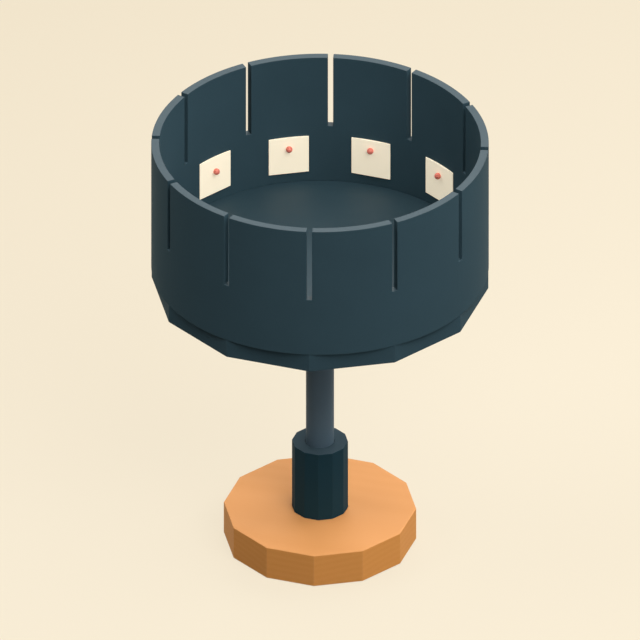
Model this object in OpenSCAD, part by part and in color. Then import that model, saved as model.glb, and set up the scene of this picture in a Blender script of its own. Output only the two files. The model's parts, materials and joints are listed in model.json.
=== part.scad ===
// Zoetrope: a slotted drum on a column, spun by hand above a twelve-sided base.
// Small pictures stand inside the drum's wall, one between each two slots, and seem to
// move when they are watched through the slots that pass. Each picture is a pale tile
// with a red ball, which climbs and falls by one wave round the drum.
// Millimetres. +Z is up, and the origin is the middle of the underside.

/* [Base] */
// Radius of the base to its corners
base_r = 68.6; // [62:0.1:90]
// Height of the base block
base_h = 25.3; // [20:0.1:40]
// Thickness of the felt pad under the base
felt_t = 3; // [1.5:0.1:4]
// How far the felt stands out under the base block
felt_proud = 0.4; // [0.2:0.1:1]
// Bare rim left round the felt, measured at the base's flats
felt_rim = 6; // [3:0.5:12]

/* [Bearing sleeve] */
// Radius of the sleeve to its corners
sleeve_r = 20; // [19.5:0.1:26]
// Height of the sleeve above the base
sleeve_h = 54.3; // [48:0.1:90]
// Depth of the socket that holds the sleeve in the base
socket_depth = 6; // [4:0.5:10]
// Height of the lip that closes the sleeve round the column
lip_h = 8; // [4:0.5:12]
// How far the sleeve's screws reach into it
sleeve_screw_grip = 7.5; // [5:0.5:9]
// Depth of the holes under the base that take those screws' heads
screw_sink = 8; // [5:0.5:9]

/* [Column] */
// Radius of the column
column_r = 10; // [9:0.1:11]
// Wall of the column's tube
column_wall = 2.5; // [1.5:0.1:3]
// Height of the drum's plate above the sleeve
drum_lift = 132.2; // [90:0.1:200]
// Length of the plugs that close the tube
plug_l = 25; // [15:1:30]
// Depth of the socket in the plate that centres the column
plate_socket = 4; // [2:0.5:6]

/* [Bearings] */
// Radius of a bearing's bore
bearing_bore_r = 6; // [5.5:0.1:6.4]
// Outer radius of a bearing
bearing_r = 14; // [13.6:0.1:15]
// Width of a bearing
bearing_h = 8; // [7.5:0.1:10]
// Radius of a bearing ball
bearing_ball_r = 2.38; // [2.1:0.02:2.5]
// Balls in a bearing
bearing_balls = 8; // [6:1:9]
// Thickness of the retaining ring below the lower bearing
retainer_t = 1.2; // [1:0.1:1.6]
// Radius of the thread at the spindle's lower end
thread_r = 5; // [4:0.1:5.4]
// Width of the lock nut across its flats
nut_flats = 17; // [15:0.5:18]
// Height of the lock nut
nut_h = 8; // [5:0.5:8.5]

/* [Hub] */
// Radius of the hub's flange under the plate
hub_r = 32; // [30:0.5:45]
// Thickness of the hub's flange
hub_t = 6; // [4:0.5:10]
// Radius of the hub's boss round the column
boss_r = 16; // [14.5:0.5:17]
// Length of the boss below the flange
boss_h = 12; // [10:0.5:25]
// Radius of the circle of screws that hold the plate to the hub
hub_screw_circle = 24.5; // [24:0.5:27]

/* [Drum] */
// Radius of the drum, the same to the plate's corners and to the round wall
drum_r = 120; // [100:1:160]
// Thickness of the plate, which is the drum's floor
plate_t = 14.1; // [12:0.1:24]
// Thickness of the drum's wall
wall_t = 5.7; // [5:0.1:9]
// Height of the drum's wall above the floor
wall_h = 103; // [80:1:140]
// Distance of the wall's screws inside the drum's outer face
wall_screw_in = 3.2; // [3:0.1:3.4]
// How far those screws reach up into the wall
wall_screw_grip = 10; // [6:0.5:11]

/* [Slots and pictures] */
// Number of pictures, and of slots
frames = 12; // [8:1:14]
// Width of a viewing slot
slot_w = 4; // [2:0.1:8]
// Depth of a slot below the rim
slot_depth = 57.2; // [30:0.1:70]
// Width of a picture tile
tile_w = 29; // [20:0.5:32]
// Height of a picture tile
tile_h = 29.5; // [24:0.5:36]
// Thickness of a tile at its middle; its back is curved like the wall
tile_t = 1.5; // [1.3:0.1:2.5]
// Height of the tiles above the floor
tile_lift = 8.4; // [6:0.1:14]
// Radius of the red ball on a tile
dot_r = 2.4; // [1.8:0.1:3]
// How far the ball's centre stands in front of the tile
dot_proud = 1.3; // [0.8:0.1:1.6]
// How far the ball climbs and falls round the drum
dot_bounce = 7; // [0:0.5:8]
// Radius of the shank that pins the ball and its tile to the wall
pin_r = 0.7; // [0.5:0.1:1]
// How far the shank reaches into the wall
pin_grip = 3; // [2:0.1:4]

/* [Hidden] */
$fn = 96;
drum_fn = 360;                // facets of the drum's large curves
sides = 12;                   // flat sides of the base, the sleeve and the plate
press_gap = 0.02;             // radial clearance of a tight or threaded fit
slip_gap = 0.1;               // clearance of a piece that drops into its place
run_gap = 0.3;                // clearance round the turning column
cut = 1;                      // how far a cutting shape runs past the face it opens

front = -90;                  // direction of the front slot
step = 360 / frames;          // angle from one picture to the next
flats = cos(180 / sides);     // a prism's radius to its flats, as a share of that to its corners

// Heights of the stand, from the underside up
base_top = felt_proud + base_h;
felt_r = base_r * flats - felt_rim;
sleeve_foot = base_top - socket_depth;
sleeve_top = base_top + sleeve_h;
screw_seat = felt_t + screw_sink;
screw_runout = 0.5;           // tapped hole left past the end of a screw
retainer_z = sleeve_foot + sleeve_screw_grip + screw_runout + 0.9;
lower_bearing_z = retainer_z + retainer_t + 0.2;
upper_bearing_z = sleeve_top - lip_h - bearing_h;
shoulder_z = upper_bearing_z + bearing_h;
collar_t = 1.5;
tube_foot = shoulder_z + collar_t;

// Heights of the drum
plate_z = sleeve_top + drum_lift;
floor_z = plate_z + plate_t;
rim_z = floor_z + wall_h;
tube_top = plate_z + plate_socket - slip_gap;
hub_z = plate_z - hub_t;
hub_fillet = 3;
boss_z = hub_z - boss_h;

// Bearings
pitch_r = (bearing_bore_r + bearing_r) / 2;
race_land = 0.67 * bearing_ball_r;        // height of the lands beside the ball's groove
inner_land_r = pitch_r - race_land;
outer_land_r = pitch_r + race_land;
ball_gap = 0.05;
pocket_gap = 0.1;
cage_t = 1.8;
cage_h = bearing_h - 1.6;
shield_t = 0.35;
shield_in = 0.25;
shield_key = 0.6;                         // how far a shield is let into the outer race

// Fasteners
sleeve_screws_n = 4;
sleeve_screw_r = 1.5;
sleeve_screw_head_r = 2.75;
sleeve_screw_head_h = 2.4;
sleeve_screw_circle = (bearing_r + sleeve_r * flats) / 2;
washer_t = 1.6;
nut_pocket_r = nut_flats / 2 / cos(30) + 2.5;
hub_screws_n = 4;
hub_screw_r = 2;
hub_screw_head_r = 3.8;
hub_screw_grip = 9;
set_screws_n = 3;
set_screw_r = 2;
set_screw_in = 0.5;
wall_screw_r = 1.25;
wall_screw_head_r = 2.4;

// Pictures
wall_in_r = drum_r - wall_t;
tile_back_r = wall_in_r - slip_gap;
tile_face_r = tile_back_r - tile_t;
tile_z = floor_z + tile_lift;
dot_centre_r = tile_face_r - dot_proud;
function picture_angle(k) = front + step * (k - 0.5);
function dot_z(k) = tile_z + tile_h / 2 - dot_bounce * cos(360 * k / frames);

// Colours
amber = [0.93, 0.66, 0.41];
slate = [0.18, 0.27, 0.30];
slate_dark = [0.13, 0.20, 0.23];
cream = [0.93, 0.88, 0.78];
coral = [0.92, 0.52, 0.46];
steel = [0.74, 0.75, 0.76];
brass = [0.80, 0.65, 0.35];
felt_green = [0.20, 0.33, 0.27];

function two_digits(k) = str(k < 10 ? "0" : "", k);
function tile_name(k) = str("picture_tile_", two_digits(k));
function pin_name(k) = str("ball_pin_", two_digits(k));

// ---- Shapes that repeat ----

// A twelve-sided prism with a corner on +X
module prism(r, z0, z1) {
    translate([0, 0, z0]) cylinder(r = r, h = z1 - z0, $fn = sides);
}

module rod(r, z0, z1) {
    translate([0, 0, z0]) cylinder(r = r, h = z1 - z0);
}

module tube(r_in, r_out, z0, z1) {
    difference() {
        rod(r_out, z0, z1);
        rod(r_in, z0 - cut, z1 + cut);
    }
}

module around(n, r, turn = 0) {
    for (i = [0:n - 1]) rotate(turn + 360 * i / n) translate([r, 0, 0]) children();
}

// A screw that points up: a flush, tapered head at height 0, with a hexagon socket
module sunk_screw(r, head_r, length) {
    difference() {
        union() {
            cylinder(r1 = head_r, r2 = r, h = head_r - r);
            cylinder(r = r, h = length);
        }
        translate([0, 0, -cut]) cylinder(r = head_r * 0.45, h = cut + head_r * 0.5, $fn = 6);
    }
}

// The hole that such a screw needs
module sunk_hole(r, head_r, length) {
    translate([0, 0, -press_gap]) cylinder(r1 = head_r + 2 * press_gap, r2 = r, h = head_r - r + 2 * press_gap);
    cylinder(r = r + press_gap, h = length);
    translate([0, 0, -cut]) cylinder(r = head_r + 2 * press_gap, h = cut);
}

// ---- Stand ----

module felt_pad() {
    color(felt_green) rod(felt_r, 0, felt_t);
}

module base_block() {
    color(amber) difference() {
        prism(base_r, felt_proud, base_top);
        prism(sleeve_r + slip_gap, sleeve_foot, base_top + cut);
        rod(felt_r + slip_gap, -cut, felt_t);
        rod(nut_pocket_r, 0, base_top);
        around(sleeve_screws_n, sleeve_screw_circle, 45) {
            rod(sleeve_screw_r + slip_gap, 0, base_top);
            rod(sleeve_screw_head_r + run_gap, 0, screw_seat);
        }
    }
}

module bearing_sleeve() {
    color(slate_dark) difference() {
        prism(sleeve_r, sleeve_foot, sleeve_top);
        rod(bearing_r + press_gap, sleeve_foot - cut, shoulder_z);
        rod(column_r + run_gap, sleeve_foot, sleeve_top + cut);
        rod(bearing_r + shield_key + slip_gap, retainer_z - slip_gap, retainer_z + retainer_t + slip_gap);
        around(sleeve_screws_n, sleeve_screw_circle, 45)
            rod(sleeve_screw_r + press_gap, sleeve_foot - cut,
                sleeve_foot + sleeve_screw_grip + screw_runout);
    }
}

module sleeve_screws() {
    color(steel) around(sleeve_screws_n, sleeve_screw_circle, 45) difference() {
        union() {
            rod(sleeve_screw_head_r, screw_seat - sleeve_screw_head_h, screw_seat);
            rod(sleeve_screw_r, screw_seat, sleeve_foot + sleeve_screw_grip);
        }
        translate([0, 0, screw_seat - sleeve_screw_head_h - cut])
            cylinder(r = sleeve_screw_r * 0.9, h = cut + sleeve_screw_head_h * 0.6, $fn = 6);
    }
}

// A split spring ring in the sleeve's groove, with an eye at each end for the pliers
module retaining_ring() {
    ring_out_r = bearing_r + shield_key;
    ring_in_r = outer_land_r + 0.8;
    eye_r = 1.4;
    eye_turn = 10;
    color(steel) difference() {
        union() {
            difference() {
                tube(ring_in_r, ring_out_r, retainer_z, retainer_z + retainer_t);
                translate([0, -ring_out_r * sin(eye_turn), retainer_z - cut])
                    cube([2 * bearing_r, 2 * ring_out_r * sin(eye_turn), retainer_t + 2 * cut]);
            }
            for (turn = [-eye_turn, eye_turn]) rotate(turn)
                translate([ring_in_r, 0, 0]) rod(eye_r, retainer_z, retainer_z + retainer_t);
        }
        for (turn = [-eye_turn, eye_turn]) rotate(turn)
            translate([ring_in_r, 0, 0])
                rod(eye_r / 2, retainer_z - cut, retainer_z + retainer_t + cut);
    }
}

module outer_spacer() {
    color(steel) tube(outer_land_r + 0.4, bearing_r - press_gap,
                      lower_bearing_z + bearing_h, upper_bearing_z);
}

// ---- Bearings, each placed by the height of its lower face ----

module race(r_in, r_out, z, shielded) {
    color(steel) translate([0, 0, z]) rotate_extrude() difference() {
        translate([r_in, 0]) square([r_out - r_in, bearing_h]);
        translate([pitch_r, bearing_h / 2]) circle(r = bearing_ball_r + ball_gap);
        if (shielded) for (y = [shield_in, bearing_h - shield_in - shield_t])
            translate([pitch_r, y - press_gap])
                square([outer_land_r + shield_key - pitch_r, shield_t + 2 * press_gap]);
    }
}

module shields(z) {
    color(steel) for (h = [shield_in, bearing_h - shield_in - shield_t])
        tube(inner_land_r + run_gap, outer_land_r + shield_key - press_gap,
             z + h, z + h + shield_t);
}

module balls(z) {
    color(steel) around(bearing_balls, pitch_r)
        translate([0, 0, z + bearing_h / 2]) sphere(r = bearing_ball_r);
}

module ball_cage(z) {
    middle = z + bearing_h / 2;
    color(brass) difference() {
        tube(pitch_r - cage_t / 2, pitch_r + cage_t / 2, middle - cage_h / 2, middle + cage_h / 2);
        around(bearing_balls, pitch_r)
            translate([0, 0, middle]) sphere(r = bearing_ball_r + pocket_gap);
    }
}

// ---- Turning column ----

module inner_spacer() {
    color(steel) tube(bearing_bore_r, inner_land_r, lower_bearing_z + bearing_h, upper_bearing_z);
}

module spindle() {
    tip = 1.5;                // tapered end of the thread, below the nut
    nut_foot = lower_bearing_z - washer_t - nut_h;
    color(steel) union() {
        translate([0, 0, nut_foot - tip]) cylinder(r1 = thread_r - tip, r2 = thread_r, h = tip);
        rod(thread_r, nut_foot, lower_bearing_z);
        rod(bearing_bore_r - press_gap, lower_bearing_z, shoulder_z);
        rod(column_r - 0.5, shoulder_z, tube_foot);
        rod(column_r - column_wall - press_gap, tube_foot, tube_foot + plug_l);
    }
}

module spindle_washer() {
    color(steel) tube(thread_r + slip_gap, inner_land_r, lower_bearing_z - washer_t, lower_bearing_z);
}

module lock_nut() {
    nut_top = lower_bearing_z - washer_t;
    color(steel) difference() {
        translate([0, 0, nut_top - nut_h]) cylinder(r = nut_flats / 2 / cos(30), h = nut_h, $fn = 6);
        rod(thread_r + press_gap, nut_top - nut_h - cut, nut_top + cut);
    }
}

module column_tube() {
    color(slate) tube(column_r - column_wall, column_r, tube_foot, tube_top);
}

module column_plug() {
    color(steel) rod(column_r - column_wall - press_gap, tube_top - plug_l, tube_top);
}

// ---- Drum ----

module drum_hub() {
    color(slate_dark) difference() {
        union() {
            rod(hub_r, hub_z, plate_z);
            rod(boss_r, boss_z, hub_z);
            translate([0, 0, hub_z - hub_fillet])
                cylinder(r1 = boss_r, r2 = boss_r + hub_fillet, h = hub_fillet);
        }
        rod(column_r + press_gap, boss_z - cut, plate_z + cut);
        around(hub_screws_n, hub_screw_circle, 45) translate([0, 0, hub_z])
            sunk_hole(hub_screw_r, hub_screw_head_r, hub_t + cut);
        for (i = [0:set_screws_n - 1]) rotate(360 * i / set_screws_n)
            translate([column_r, 0, (boss_z + hub_z) / 2]) rotate([0, 90, 0])
                cylinder(r = set_screw_r + press_gap, h = boss_r);
    }
}

module hub_set_screws() {
    length = boss_r - set_screw_in - column_r - 2 * press_gap;
    color(steel) for (i = [0:set_screws_n - 1]) rotate(360 * i / set_screws_n)
        translate([column_r + 2 * press_gap, 0, (boss_z + hub_z) / 2]) rotate([0, 90, 0])
            difference() {
                cylinder(r = set_screw_r, h = length);
                translate([0, 0, length / 2]) cylinder(r = set_screw_r / 2, h = length, $fn = 6);
            }
}

module hub_screws() {
    color(steel) around(hub_screws_n, hub_screw_circle, 45) translate([0, 0, hub_z])
        sunk_screw(hub_screw_r, hub_screw_head_r, hub_t + hub_screw_grip);
}

module drum_plate() {
    color(slate) difference() {
        prism(drum_r, plate_z, floor_z);
        rod(column_r + press_gap, plate_z - cut, plate_z + plate_socket);
        around(hub_screws_n, hub_screw_circle, 45)
            rod(hub_screw_r + press_gap, plate_z - cut, plate_z + hub_screw_grip + screw_runout);
        around(sides, drum_r - wall_screw_in) translate([0, 0, plate_z])
            sunk_hole(wall_screw_r, wall_screw_head_r, plate_t + cut);
    }
}

module drum_wall() {
    color(slate) difference() {
        tube(wall_in_r, drum_r, floor_z, rim_z, $fn = drum_fn);
        for (k = [1:frames]) {
            rotate(front + step * k)
                translate([wall_in_r - wall_t, -slot_w / 2, rim_z - slot_depth])
                    cube([3 * wall_t, slot_w, slot_depth + cut]);
            rotate(picture_angle(k)) translate([tile_face_r, 0, dot_z(k)]) rotate([0, 90, 0])
                cylinder(r = pin_r + press_gap, h = wall_in_r - tile_face_r + pin_grip + screw_runout);
        }
        around(sides, drum_r - wall_screw_in)
            rod(wall_screw_r + press_gap, floor_z - cut, floor_z + wall_screw_grip + screw_runout);
    }
}

module wall_screws() {
    color(steel) around(sides, drum_r - wall_screw_in) translate([0, 0, plate_z])
        sunk_screw(wall_screw_r, wall_screw_head_r, plate_t + wall_screw_grip);
}

// A tile is flat in front and curved behind, where it lies on the wall
module picture_tile(k) {
    color(cream) rotate(picture_angle(k)) difference() {
        intersection() {
            translate([tile_face_r, -tile_w / 2, tile_z]) cube([wall_t, tile_w, tile_h]);
            rod(tile_back_r, tile_z - cut, tile_z + tile_h + cut, $fn = drum_fn);
        }
        translate([tile_face_r - cut, 0, dot_z(k)]) rotate([0, 90, 0])
            cylinder(r = pin_r + press_gap, h = tile_t + 2 * cut);
    }
}

// A ball with a flat seat on the tile, and a shank through the tile into the wall
module ball_pin(k) {
    color(coral) rotate(picture_angle(k)) translate([0, 0, dot_z(k)]) union() {
        intersection() {
            translate([dot_centre_r, 0, 0]) sphere(r = dot_r);
            translate([tile_face_r - 2 * dot_r - dot_proud, -2 * dot_r, -2 * dot_r])
                cube([2 * dot_r + dot_proud, 4 * dot_r, 4 * dot_r]);
        }
        translate([dot_centre_r, 0, 0]) rotate([0, 90, 0])
            cylinder(r = pin_r, h = wall_in_r + pin_grip - dot_centre_r);
    }
}

// ---- The nodes ----

felt_pad();
base_block();
bearing_sleeve();
sleeve_screws();
retaining_ring();
outer_spacer();
race(outer_land_r, bearing_r, upper_bearing_z, true);  // upper_outer_race
race(outer_land_r, bearing_r, lower_bearing_z, true);  // lower_outer_race
shields(upper_bearing_z);  // upper_shields
shields(lower_bearing_z);  // lower_shields
ball_cage(upper_bearing_z);  // upper_ball_cage
ball_cage(lower_bearing_z);  // lower_ball_cage
balls(upper_bearing_z);  // upper_balls
balls(lower_bearing_z);  // lower_balls
race(bearing_bore_r, inner_land_r, upper_bearing_z, false);  // upper_inner_race
race(bearing_bore_r, inner_land_r, lower_bearing_z, false);  // lower_inner_race
inner_spacer();
spindle();
spindle_washer();
lock_nut();
column_tube();
column_plug();
drum_hub();
hub_set_screws();
hub_screws();
drum_plate();
drum_wall();
wall_screws();
for (k = [1:frames]) {
    picture_tile(k);
    ball_pin(k);
}
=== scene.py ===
# %% [markdown]
# # A zoetrope, piece by piece
# A zoetrope is a drum with slots in its wall and a ring of pictures inside. It spins on a
# column, and an eye at the slots sees one picture after another, so that they seem to move.
# The construction is already packed as a fixed frame. This lesson gives each piece that
# shows a softened, finished mesh and a material, and sets up a camera, a floor and lamps.

# %% Load the frame
import json
from math import atan2, cos, pi, radians, sin, tau

import bmesh
import bpy
from mathutils import Matrix, Vector


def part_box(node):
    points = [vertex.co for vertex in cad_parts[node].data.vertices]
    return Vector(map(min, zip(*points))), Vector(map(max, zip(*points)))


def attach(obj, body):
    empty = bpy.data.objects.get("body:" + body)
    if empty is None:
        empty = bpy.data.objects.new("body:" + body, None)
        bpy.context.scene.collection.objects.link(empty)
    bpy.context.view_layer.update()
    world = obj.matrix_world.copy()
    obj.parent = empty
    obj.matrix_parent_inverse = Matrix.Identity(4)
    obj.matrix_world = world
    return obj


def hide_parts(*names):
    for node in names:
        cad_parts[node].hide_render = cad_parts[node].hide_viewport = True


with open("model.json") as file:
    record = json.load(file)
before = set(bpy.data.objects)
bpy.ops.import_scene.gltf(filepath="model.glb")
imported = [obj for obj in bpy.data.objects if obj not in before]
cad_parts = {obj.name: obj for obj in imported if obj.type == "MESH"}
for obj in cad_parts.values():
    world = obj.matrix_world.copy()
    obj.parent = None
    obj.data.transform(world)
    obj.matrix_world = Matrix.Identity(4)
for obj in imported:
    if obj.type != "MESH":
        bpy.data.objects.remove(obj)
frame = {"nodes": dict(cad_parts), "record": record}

scene = bpy.context.scene
scene.view_settings.view_transform = "Standard"
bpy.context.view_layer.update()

# %% [markdown]
# The picture to match has no perspective: its upright edges are parallel, and the drum's two
# ellipses have the same shape. So the camera is orthographic. It looks down at 32 degrees and
# stands a little to the right of the front slot. An orthographic camera has a width of view
# in place of a focal length, and its distance matters only for what it might clip.

# %% Camera
CAMERA_AZIMUTH = radians(3.673)
CAMERA_ELEVATION = radians(31.96)
CAMERA_DISTANCE = 2.0
VIEW_WIDTH = 0.45498
AIM = Vector((0, 0, 0.18084))


def direction(azimuth, elevation):
    """The way from the object to a camera or lamp. Azimuth 0 is in front, positive to the right."""
    return Vector((sin(azimuth) * cos(elevation), -cos(azimuth) * cos(elevation), sin(elevation)))


def aim_at_object(thing, away, distance):
    thing.location = AIM + distance * away
    thing.rotation_euler = away.to_track_quat("Z", "Y").to_euler()


bpy.ops.object.camera_add()
camera = bpy.context.active_object
camera.name = "camera"
camera.data.type = "ORTHO"
camera.data.ortho_scale = VIEW_WIDTH
aim_at_object(camera, direction(CAMERA_AZIMUTH, CAMERA_ELEVATION), CAMERA_DISTANCE)
scene.camera = camera
print("camera at", [round(c, 3) for c in camera.location])

# %% [markdown]
# Sizes come from the frame wherever a node's box can tell them: a radius is half a width, and
# a height is the difference of two corners. What a box can't tell, such as the thickness of
# the wall or the width of a slot, is written once, here or where it is first used, in metres.

# %% Sizes
SIDES = 12  # flat sides of the base, the sleeve and the plate
FLATS = cos(pi / SIDES)  # a prism's radius to its flats over that to its corners
FRAMES = sum(name.startswith("picture_tile_") for name in frame["nodes"])
STEP = tau / FRAMES  # angle from one slot to the next
FRONT = -pi / 2  # direction of the front slot
WALL_T = 0.0057
SLOT_W = 0.004
SLOT_DEPTH = 0.0572
EASE = 0.0003  # how far most sharp edges are rounded
TIGHT = 0.00002  # clearances: a tight seat, a loose seat, a running gap
LOOSE = 0.0001
RUNNING = 0.0003
PAST = 0.001  # how far a cutting shape runs past the face it opens


def radius_of(name):
    return -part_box(name)[0].x


def heights_of(name):
    low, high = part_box(name)
    return low.z, high.z


def angle_of(name):
    """The way from the axis to the middle of a node, seen from above."""
    low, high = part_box(name)
    return atan2(low.y + high.y, low.x + high.x)


base_r, (base_foot, base_top) = radius_of("base_block"), heights_of("base_block")
sleeve_r, (sleeve_foot, sleeve_top) = radius_of("bearing_sleeve"), heights_of("bearing_sleeve")
column_r, (column_foot, column_top) = radius_of("column_tube"), heights_of("column_tube")
drum_r, (floor_z, rim_z) = radius_of("drum_wall"), heights_of("drum_wall")
plate_foot = heights_of("drum_plate")[0]
wall_in_r = drum_r - WALL_T
slot_foot = rim_z - SLOT_DEPTH
print("drum", round(2000 * drum_r, 1), "mm across, with", FRAMES, "slots")

# %% [markdown]
# A few helpers keep the later cells short. An operator acts on whatever is selected, so each
# helper starts by clearing the selection. Faces, edges and corners are then picked in code,
# by a test on their middle, where a hand would click on them.

# %% Helpers for selecting


def only(obj):
    """Makes obj the one selected, active object."""
    bpy.ops.object.select_all(action="DESELECT")
    obj.select_set(True)
    bpy.context.view_layer.objects.active = obj


def pick(obj, kind, test):
    """Enters edit mode and selects the faces, edges or verts whose middle passes the test."""
    only(obj)
    bpy.ops.object.mode_set(mode="EDIT")
    bpy.ops.mesh.select_mode(type={"faces": "FACE", "edges": "EDGE", "verts": "VERT"}[kind])
    bpy.ops.mesh.select_all(action="DESELECT")
    mesh = bmesh.from_edit_mesh(obj.data)
    for part in getattr(mesh, kind):
        corners = [part.co] if kind == "verts" else [v.co for v in part.verts]
        part.select_set(test(sum(corners, Vector()) / len(corners)))
    mesh.select_flush_mode()
    bmesh.update_edit_mesh(obj.data)


def pick_all(obj):
    pick(obj, "verts", lambda place: True)


def leave_edit():
    bpy.ops.object.mode_set(mode="OBJECT")


def join(pieces):
    """Makes one object of several and returns it."""
    only(pieces[0])
    for piece in pieces:
        piece.select_set(True)
    if len(pieces) > 1:
        bpy.ops.object.join()
    return pieces[0]


# %% [markdown]
# Nearly every piece here is turned or sawn, so nearly every one starts as an upright post:
# with twelve corners it is a prism, with six a hexagon, and with many a cylinder or a cone.
# Boolean modifiers drill the holes, and a Bevel modifier rounds whatever is still sharp.
# Real edges are never quite sharp, and a rounded one catches a thin line of light.

# %% Helpers for shaping


def add_post(name, radius, low, high, corners=96, top_radius=None, at=(0, 0), turn=0):
    """An upright prism, cylinder or cone from low to high."""
    bpy.ops.object.select_all(action="DESELECT")
    bpy.ops.mesh.primitive_cone_add(
        vertices=corners, radius1=radius, radius2=radius if top_radius is None else top_radius,
        depth=high - low, location=(*at, (low + high) / 2), rotation=(0, 0, turn))
    made = bpy.context.active_object
    made.name = name
    bpy.ops.object.transform_apply(location=True, rotation=True, scale=True)
    return made


def lay_along_x(obj, height):
    """Turns an upright post over, so that it reaches out along X at that height."""
    obj.data.transform(Matrix.Translation((0, 0, height)) @ Matrix.Rotation(pi / 2, 4, "Y"))
    return obj


def turned_copy(obj, name, angle, rise=0):
    """A copy with its own mesh, turned about the drum's axis and raised."""
    copy = obj.copy()
    copy.data = obj.data.copy()
    copy.name = name
    scene.collection.objects.link(copy)
    copy.data.transform(Matrix.Translation((0, 0, rise)) @ Matrix.Rotation(angle, 4, "Z"))
    return copy


def ring_of(obj, angles, rises=None):
    """Copies of obj at those angles, joined into one object. The first is used up."""
    rises = rises or [0] * len(angles)
    name, obj.name = obj.name, "pattern"
    copies = [turned_copy(obj, name, angle, rise) for angle, rise in zip(angles, rises)]
    bpy.data.objects.remove(obj)
    return join(copies)


def use(obj, kind, **settings):
    """Adds a modifier to obj and applies it."""
    only(obj)
    modifier = obj.modifiers.new(kind.title(), kind)
    for name, value in settings.items():
        setattr(modifier, name, value)
    bpy.ops.object.modifier_apply(modifier=modifier.name)


def carve(obj, cutter, operation="DIFFERENCE"):
    use(obj, "BOOLEAN", object=cutter, operation=operation, solver="EXACT")
    bpy.data.objects.remove(cutter)


# The last mark is for the drum's rim: wear from hands, and a painted highlight of the light on its
# top.
PLAIN, EASED, HANDLED_AND_LIT = 0, 1, 2  # slots that mark faces, until the piece is finished


def ease(obj, width=EASE, segments=3, above=35):
    """Rounds each edge sharper than that many degrees, and marks the new faces as eased."""
    while len(obj.data.materials) <= HANDLED_AND_LIT:
        obj.data.materials.append(None)
    use(obj, "BEVEL", width=width, segments=segments, limit_method="ANGLE",
        angle_limit=radians(above), material=EASED)


def smooth(obj, below=32):
    """Shades gentle edges round. Large faces keep their own direction, so flats stay flat."""
    only(obj)
    bpy.ops.object.shade_smooth_by_angle(angle=radians(below))
    use(obj, "WEIGHTED_NORMAL", keep_sharp=True)


def evenly(count, start=0.0):
    return [start + i * tau / count for i in range(count)]


def report(obj):
    """Prints how many faces a piece has and how many of its edges are open: none, if closed."""
    mesh = bmesh.new()
    mesh.from_mesh(obj.data)
    open_edges = sum(not edge.is_manifold for edge in mesh.edges)
    mesh.free()
    print(f"{obj.name}: {len(obj.data.polygons)} faces, {open_edges} open edges")


# %% [markdown]
# ## Finishes
# A material is a tree of shader nodes, and so is a node group, which several materials can
# share. These helpers add a node with its settings, link sockets, do sums and start a group.

# %% Node helpers
COLOUR, FLOAT = "NodeSocketColor", "NodeSocketFloat"


def link(tree, *pairs):
    for source, target in pairs:
        tree.links.new(source, target)


def node(tree, kind, **settings):
    """Adds a node. A setting is the value of the socket with that name, or else a property."""
    made = tree.nodes.new(kind)
    for name, value in settings.items():
        if name in made.inputs:
            made.inputs[name].default_value = value
        else:
            setattr(made, name, value)
    return made


def maths(tree, operation, first, second, third=None):
    """A Math node. Each term is a number or an output; returns the result's output."""
    made = node(tree, "ShaderNodeMath", operation=operation)
    for socket, term in zip(made.inputs, (first, second, third)):
        if isinstance(term, (int, float)):
            socket.default_value = term
        elif term is not None:
            tree.links.new(term, socket)
    return made.outputs[0]


def new_group(name, inputs, outputs):
    """An empty shader group. Returns its tree, what it is given and what it puts out."""
    tree = bpy.data.node_groups.new(name, "ShaderNodeTree")
    for label, kind, value in inputs:
        tree.interface.new_socket(label, in_out="INPUT", socket_type=kind).default_value = value
    for label, kind in outputs:
        tree.interface.new_socket(label, in_out="OUTPUT", socket_type=kind)
    return tree, tree.nodes.new("NodeGroupInput").outputs, tree.nodes.new("NodeGroupOutput").inputs


# %% [markdown]
# The object has one warm finish and several dark, matt ones, so what tells them apart is
# fine: the grain of a moulding, the pebble of baked enamel, the fibres of card. That effect
# is one node group. It takes a colour and a grain size, and puts out a colour that wavers a
# little, a roughness that wavers with it, and a height for a Bump node. Each material places
# the group with its own values in front of its own shader.

# %% Surface grain


def make_surface_grain():
    """Fine grain and slow clouds of tone, in the piece's own space."""
    tree, given, result = new_group(
        "surface_grain",
        [("Colour", COLOUR, (0.5, 0.5, 0.5, 1)), ("Grain", FLOAT, 900), ("Clouds", FLOAT, 25),
         ("Contrast", FLOAT, 0.05), ("Roughness", FLOAT, 0.5), ("Spread", FLOAT, 0.08)],
        [("Colour", COLOUR), ("Roughness", FLOAT), ("Height", FLOAT)])
    place = node(tree, "ShaderNodeTexCoord")
    fine = node(tree, "ShaderNodeTexNoise", Detail=3.0, Roughness=0.6)
    cloudy = node(tree, "ShaderNodeTexNoise", Detail=2.0, Roughness=0.5)
    tint = node(tree, "ShaderNodeVectorMath", operation="SCALE")
    link(tree,
         (place.outputs["Object"], fine.inputs["Vector"]),
         (place.outputs["Object"], cloudy.inputs["Vector"]),
         (given["Grain"], fine.inputs["Scale"]),
         (given["Clouds"], cloudy.inputs["Scale"]))
    both = maths(tree, "ADD", fine.outputs["Fac"], cloudy.outputs["Fac"])
    swing = maths(tree, "SUBTRACT", both, 1.0)
    gain = maths(tree, "MULTIPLY_ADD", swing, given["Contrast"], 1.0)
    rough = maths(tree, "MULTIPLY_ADD", swing, given["Spread"], given["Roughness"])
    link(tree,
         (given["Colour"], tint.inputs[0]),
         (gain, tint.inputs["Scale"]),
         (tint.outputs["Vector"], result["Colour"]),
         (rough, result["Roughness"]),
         (fine.outputs["Fac"], result["Height"]))
    return tree


surface_grain = make_surface_grain()
print("group", surface_grain.name, "with", len(surface_grain.nodes), "nodes")
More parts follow.
